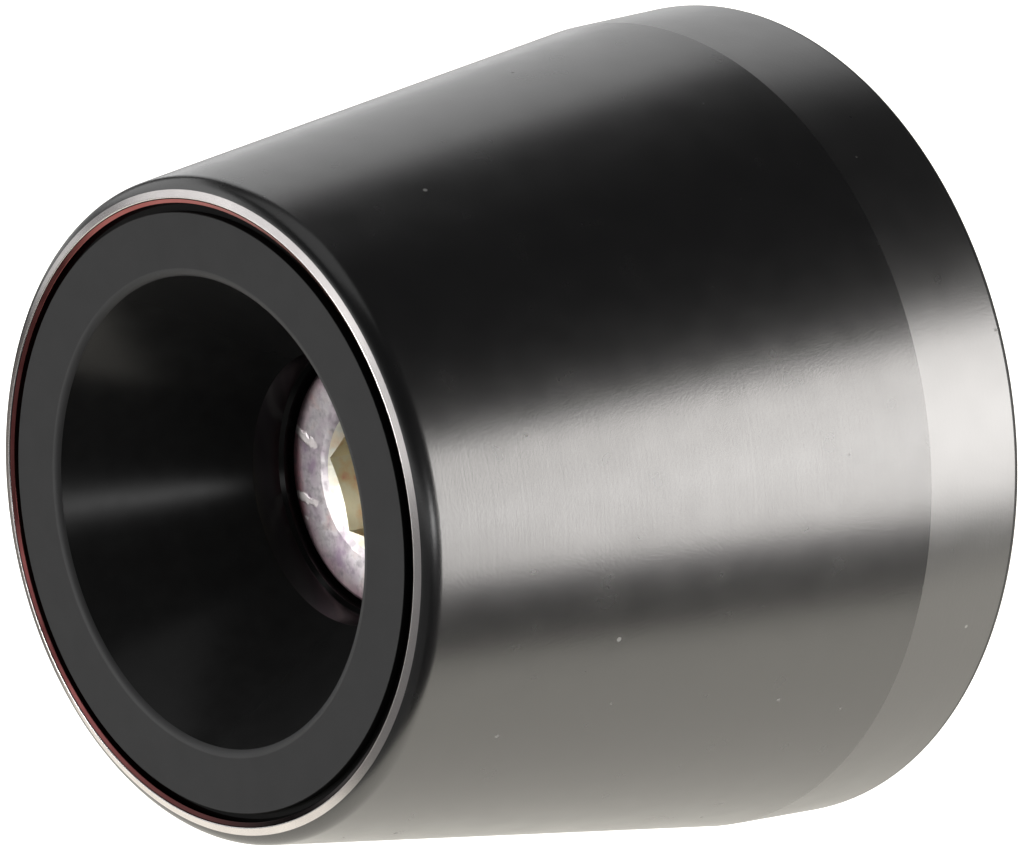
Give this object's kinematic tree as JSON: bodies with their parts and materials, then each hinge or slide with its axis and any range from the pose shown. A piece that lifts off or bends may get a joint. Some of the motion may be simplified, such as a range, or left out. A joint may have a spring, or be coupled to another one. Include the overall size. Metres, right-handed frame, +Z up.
{
  "type": "bar end weight",
  "caption": "Conical black bar end weight with a bright-cut lip, a dark face ring, a conical tool recess and the socket head screw that clamps it to a handlebar.",
  "frame": {"origin": "on the axis, in the plane of the rear face that seats against the bar", "axes": "+Y along the axis towards the bar, so the free end faces -Y; +Z up"},
  "size_m": [0.032, 0.0343, 0.032],
  "materials": {
    "black_anodise": "satin black anodised",
    "ring_charcoal": "matt charcoal with a thin red rim",
    "zinc_plate": "zinc plated, passivated"
  },
  "bodies": {
    "root": {"weight_body": "black_anodise", "face_ring": "ring_charcoal", "clamp_screw": "zinc_plate"}
  },
  "joints": []
}
